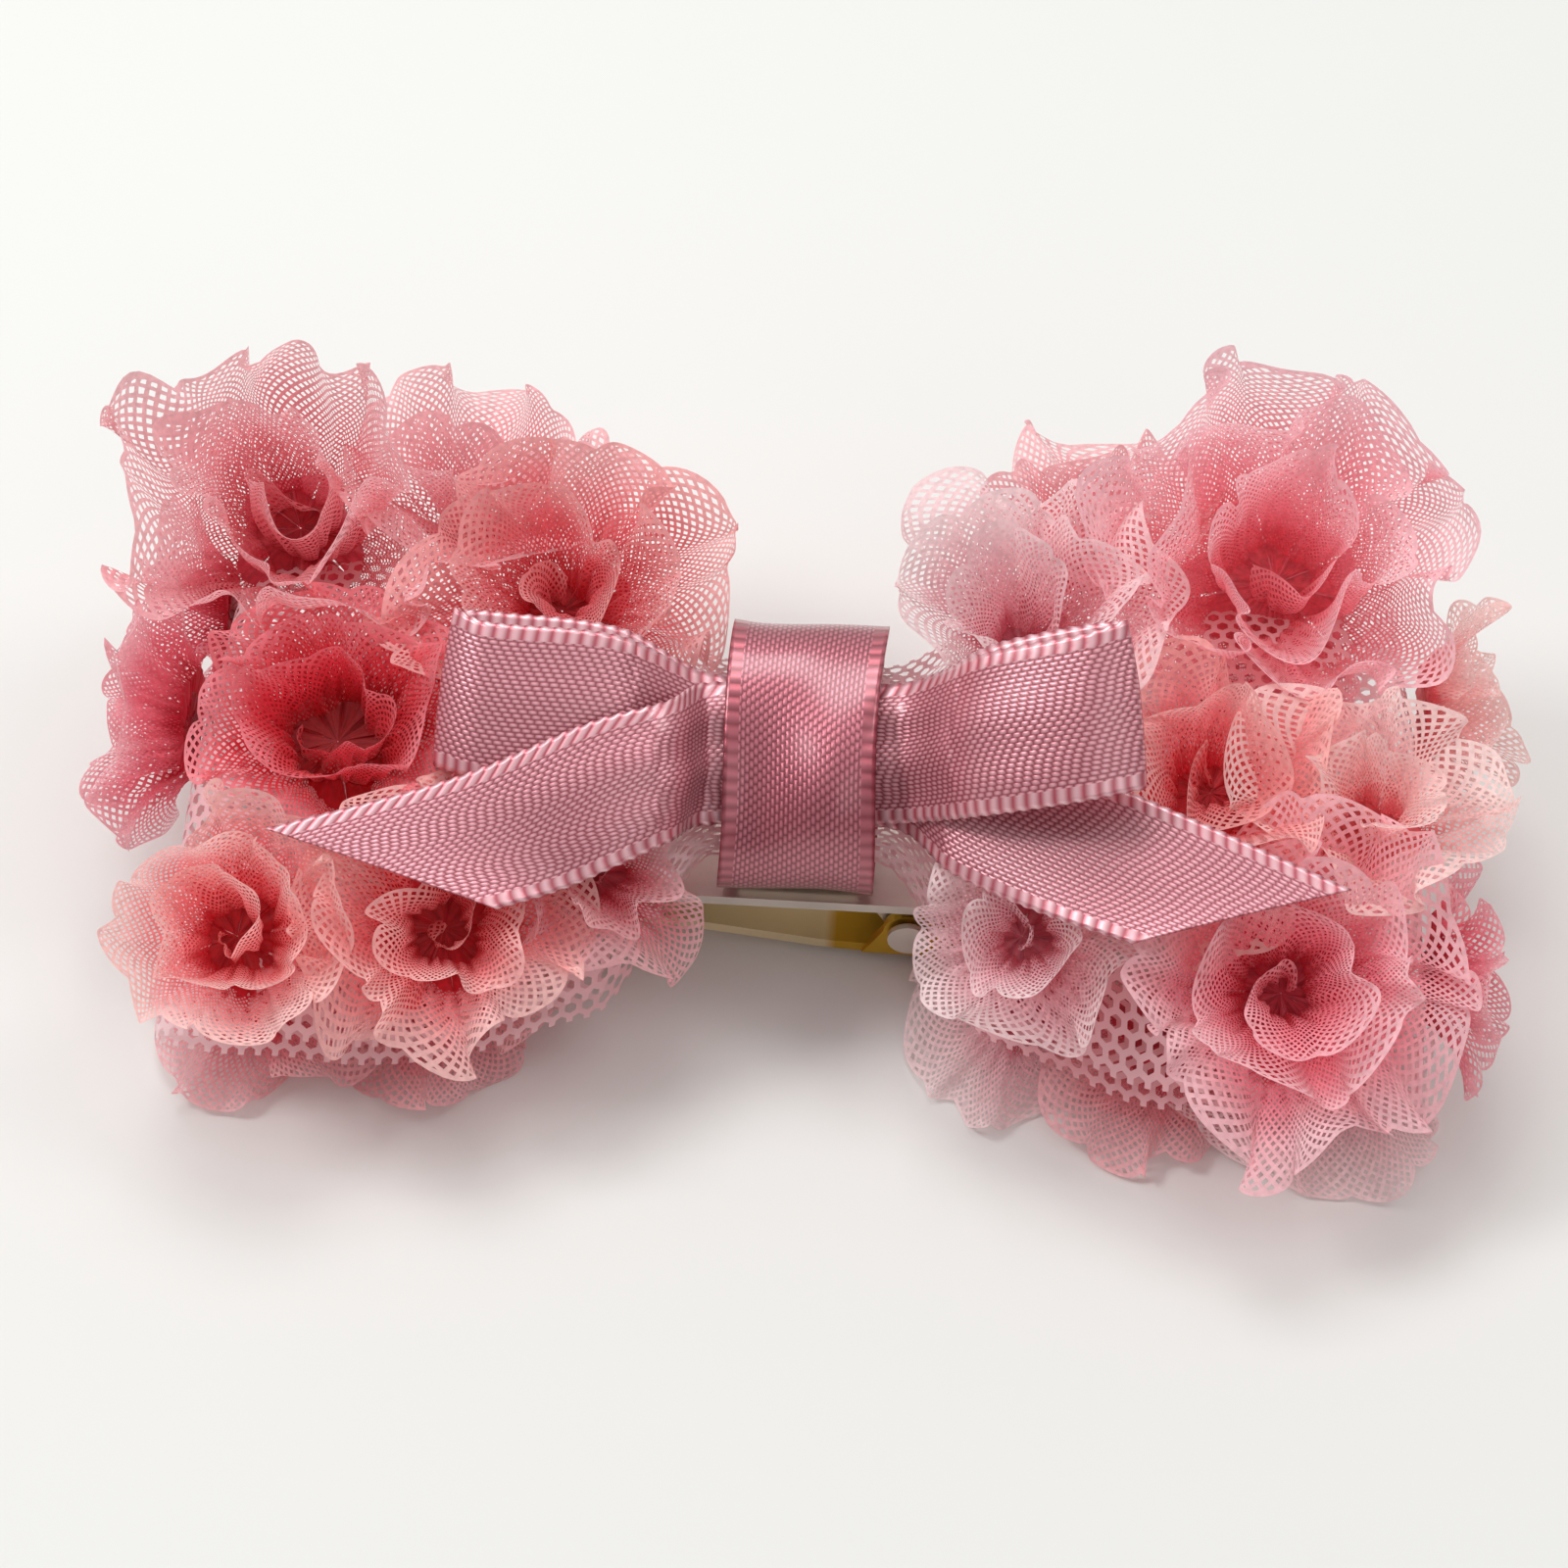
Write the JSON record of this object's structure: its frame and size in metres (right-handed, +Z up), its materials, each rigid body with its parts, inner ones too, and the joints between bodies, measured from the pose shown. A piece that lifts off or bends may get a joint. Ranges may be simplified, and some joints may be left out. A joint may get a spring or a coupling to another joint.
{
  "type": "hair bow",
  "caption": "Looped hair bow of rosette mesh with a satin ribbon bow and centre wrap, on a sprung alligator clip.",
  "frame": {"origin": "centre of the bow's footprint, on the surface it lies on", "axes": "+X along the bow's length, -Y its open front where the ribbon tails hang, +Z up away from the clip"},
  "size_m": [0.0932, 0.0446, 0.0305],
  "materials": {
    "rosette_mesh": "fine mesh",
    "net": "hexagonal net",
    "satin": "satin weave",
    "thread": "sewing thread",
    "glue": "satin",
    "nickel": "plated",
    "spring_steel": "drawn wire",
    "brass_plate": "plated"
  },
  "bodies": {
    "bow": {"clip_upper_plate": "nickel", "hinge_pin": "nickel", "clip_spring": "spring_steel", "glue_pad": "glue", "centre_wrap": "satin", "gathering_thread": "thread", "net_strip": "net", "satin_ribbon": "satin", "rosette_left_back_corner": "rosette_mesh", "rosette_left_back_inner": "rosette_mesh", "rosette_left_middle_inner": "rosette_mesh", "rosette_left_middle_outer": "rosette_mesh", "rosette_left_front_corner": "rosette_mesh", "rosette_left_front_middle": "rosette_mesh", "rosette_left_front_inner": "rosette_mesh", "rosette_right_back_corner": "rosette_mesh", "rosette_right_back_inner": "rosette_mesh", "rosette_right_middle_inner": "rosette_mesh", "rosette_right_middle_outer": "rosette_mesh", "rosette_right_side": "rosette_mesh", "rosette_right_front_corner": "rosette_mesh", "rosette_right_front_inner": "rosette_mesh", "rosette_left_under_corner": "rosette_mesh", "rosette_left_under_front": "rosette_mesh", "rosette_left_under_back": "rosette_mesh", "rosette_left_under_inner": "rosette_mesh", "rosette_right_under_inner": "rosette_mesh", "rosette_right_under_front": "rosette_mesh", "rosette_right_under_corner": "rosette_mesh", "rosette_right_under_back": "rosette_mesh", "rosette_left_end": "rosette_mesh", "rosette_left_end_back": "rosette_mesh", "rosette_right_end": "rosette_mesh", "rosette_right_end_front": "rosette_mesh"},
    "lever": {"clip_lever": "brass_plate"}
  },
  "joints": [
    {"name": "clip_open", "type": "hinge", "parent": "bow", "child": "lever", "pos_m": [0.0075, -0.0025, 0.0036], "axis": [0, -1, 0], "range_deg": [0, 21], "stiffness_Nm_per_rad": 0.02, "springref_deg": -57.3, "deforming": ["clip_spring"]}
  ]
}
